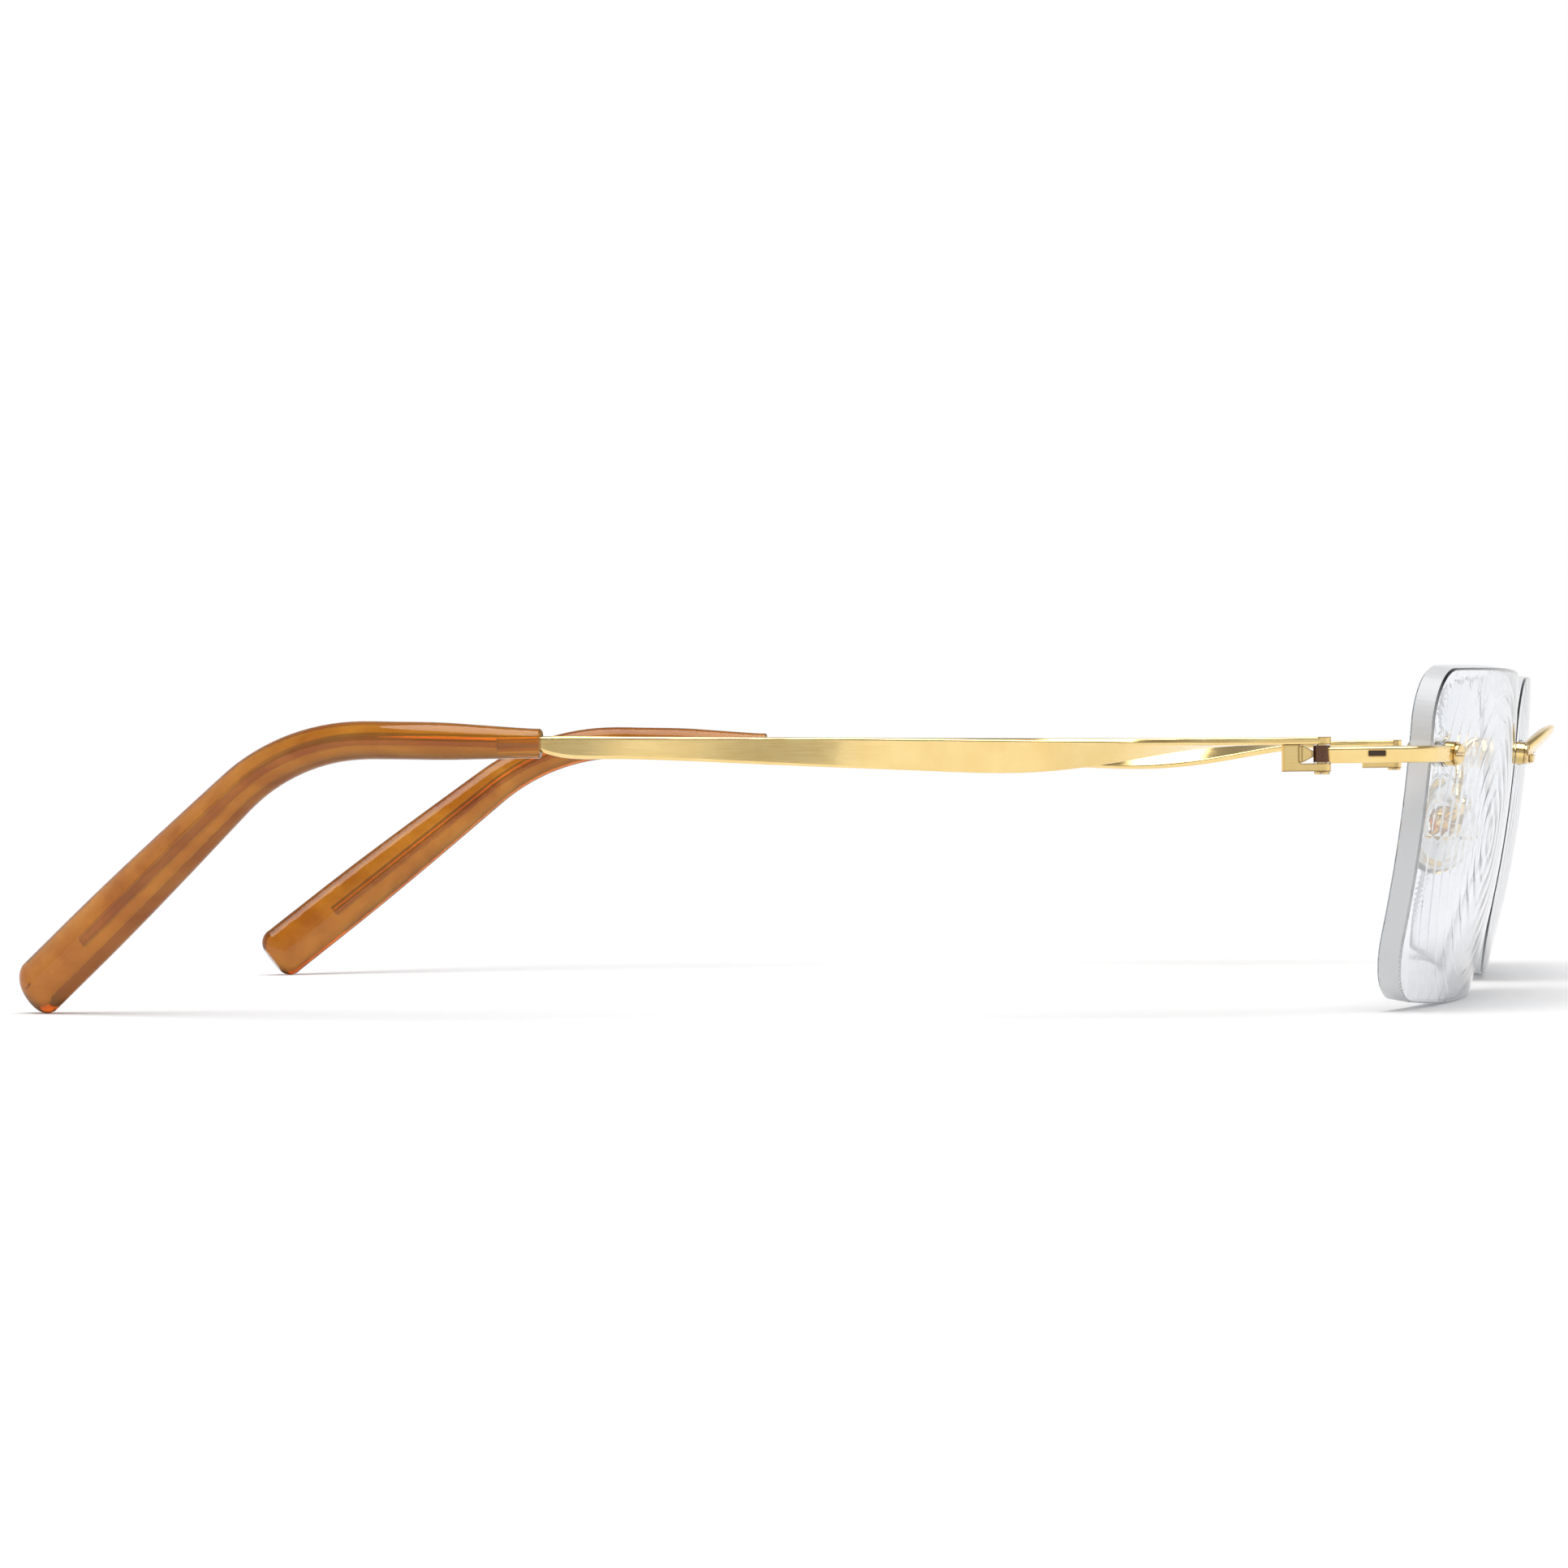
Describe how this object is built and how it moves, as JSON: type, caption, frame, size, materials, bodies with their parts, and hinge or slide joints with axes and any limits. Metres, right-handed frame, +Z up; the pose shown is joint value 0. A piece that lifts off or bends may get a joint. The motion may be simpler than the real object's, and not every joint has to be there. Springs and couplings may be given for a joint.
{
  "type": "rimless eyeglasses",
  "caption": "Rimless eyeglasses: clear drilled lenses, a thin gold bridge and twisted gold temples with translucent amber tips that fold on hinges.",
  "frame": {"origin": "on the surface it stands on, under the middle of the open glasses' box", "axes": "+X to the wearer's left, -Y the way the wearer looks, +Z up"},
  "size_m": [0.135, 0.1522, 0.0331],
  "materials": {
    "lens": "polished clear plastic with polished edges",
    "gold": "pale gold plate, polished",
    "dark_barrel": "dark brown, satin",
    "dark_inlay": "dark brown enamel, glossy",
    "screw": "pale gold plate, turned",
    "clear_nylon": "clear nylon",
    "silicone": "clear silicone, soft gloss",
    "amber_sleeve": "translucent amber brown, polished"
  },
  "bodies": {
    "front": {"lens_left": "lens", "lens_right": "lens", "bridge": "gold", "endpiece_left": "gold", "endpiece_right": "gold", "endpiece_inlay_left": "dark_inlay", "endpiece_inlay_right": "dark_inlay", "hinge_barrel_left": "dark_barrel", "hinge_barrel_right": "dark_barrel", "endpiece_screws": "screw", "bridge_screws": "screw", "lens_bushings": "clear_nylon", "front_washers": "clear_nylon", "back_washers": "clear_nylon", "lens_nuts": "screw", "pad_arm_left": "gold", "pad_arm_right": "gold", "pad_box_left": "gold", "pad_box_right": "gold", "pad_screw_left": "screw", "pad_screw_right": "screw"},
    "temple_left": {"temple_left": "gold", "hinge_block_left": "gold", "hinge_screw_left": "screw", "hinge_washers_left": "clear_nylon", "temple_sleeve_left": "amber_sleeve"},
    "nose_pad_left": {"nose_pad_left": "silicone", "pad_insert_left": "gold"},
    "temple_right": {"temple_right": "gold", "hinge_block_right": "gold", "hinge_screw_right": "screw", "hinge_washers_right": "clear_nylon", "temple_sleeve_right": "amber_sleeve"},
    "nose_pad_right": {"nose_pad_right": "silicone", "pad_insert_right": "gold"}
  },
  "joints": [
    {"name": "temple_fold_left", "type": "hinge", "parent": "front", "child": "temple_left", "pos_m": [0.066, -0.05599, 0.0246], "axis": [0, 0, 1], "range_deg": [0, 67]},
    {"name": "temple_fold_right", "type": "hinge", "parent": "front", "child": "temple_right", "pos_m": [-0.066, -0.05599, 0.0246], "axis": [0, 0, -1], "range_deg": [0, 83]},
    {"name": "nose_pad_rock_left", "type": "hinge", "parent": "front", "child": "nose_pad_left", "pos_m": [0.0111, -0.06513, 0.0178], "axis": [0.36, 0.8912, 0.2761], "range_deg": [-8, 8]},
    {"name": "nose_pad_rock_right", "type": "hinge", "parent": "front", "child": "nose_pad_right", "pos_m": [-0.0111, -0.06513, 0.0178], "axis": [-0.36, 0.8912, 0.2761], "range_deg": [-8, 8]}
  ]
}
